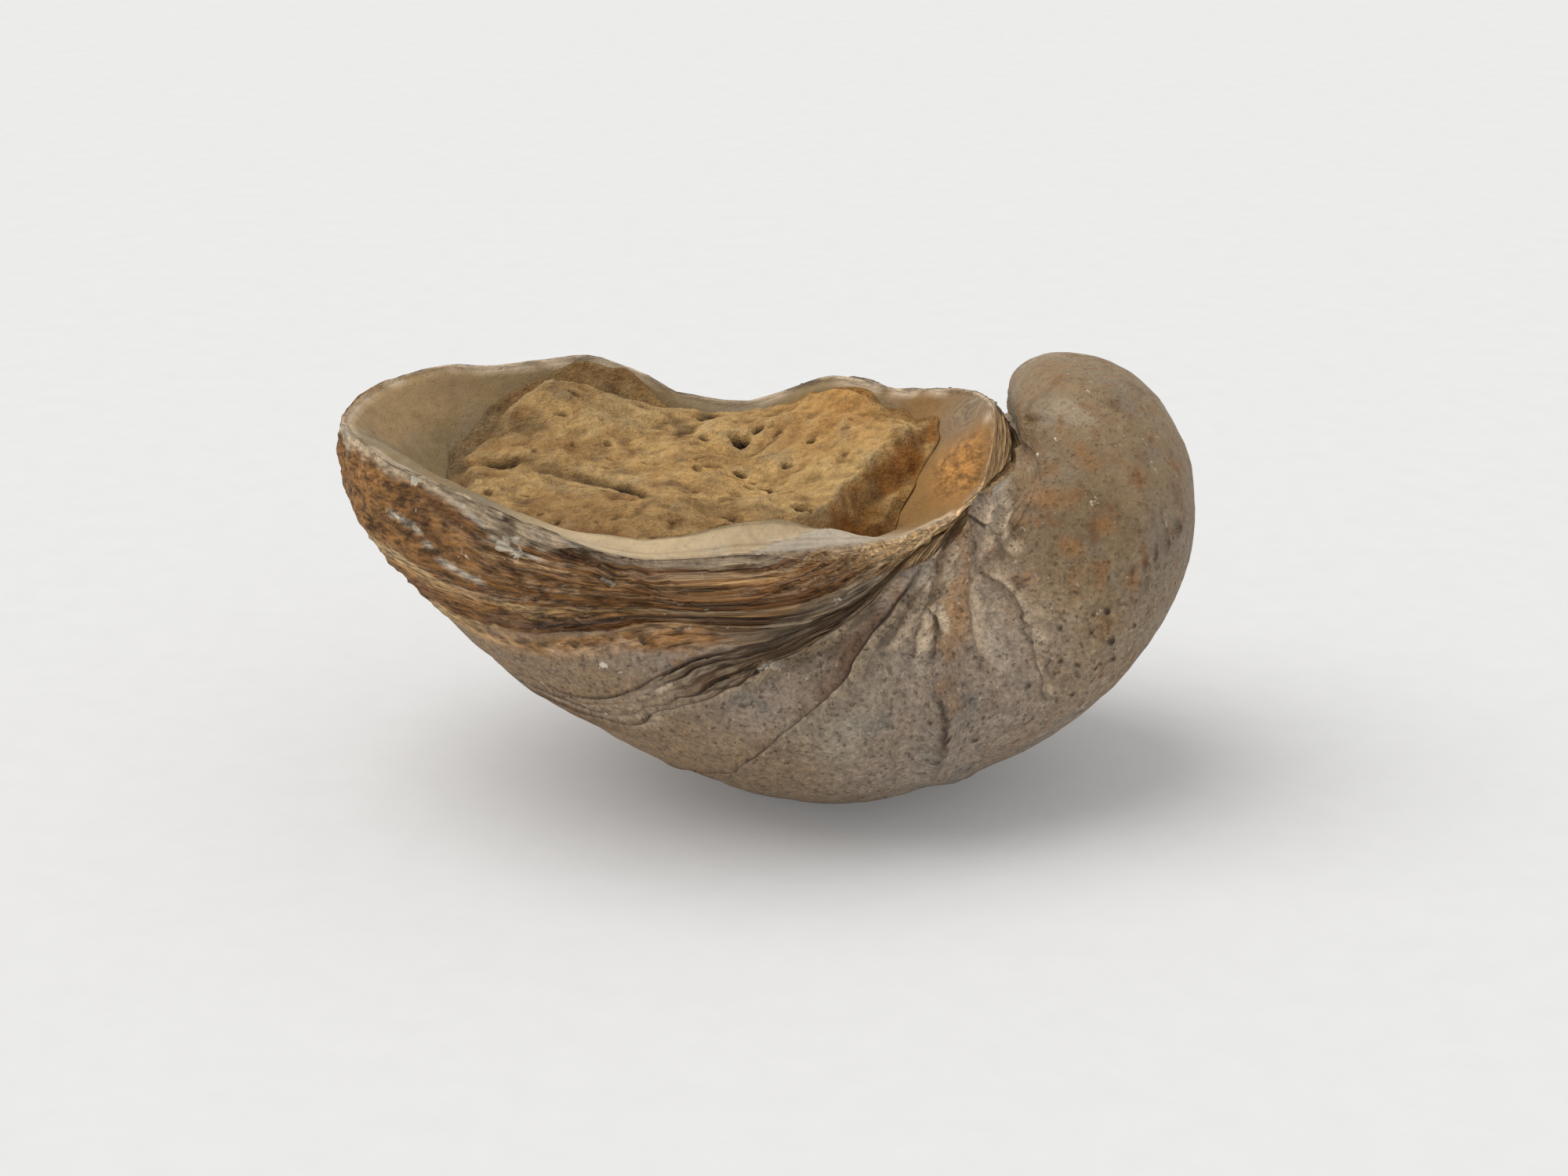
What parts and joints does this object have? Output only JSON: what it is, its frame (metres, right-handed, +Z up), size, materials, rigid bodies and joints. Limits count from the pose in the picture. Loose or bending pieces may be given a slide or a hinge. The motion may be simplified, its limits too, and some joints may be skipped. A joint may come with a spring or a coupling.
{
  "type": "devil's toenail fossil",
  "caption": "Fossil Gryphaea left valve, curled beak and flared layered lip, with hardened sediment in its hollow.",
  "frame": {"origin": "on the worn flat of the convex underside that the valve rests on", "axes": "+X from the flared lip to the coiled beak, +Z up out of the shell's mouth, Y along the hinge"},
  "size_m": [0.0732, 0.0499, 0.0366],
  "materials": {
    "shell": "dull weathered calcite, grey tan with brown stain, layered at the margin",
    "sediment": "matt, gritty, pitted ochre limestone"
  },
  "bodies": {
    "root": {"valve": "shell", "matrix": "sediment"}
  },
  "joints": []
}
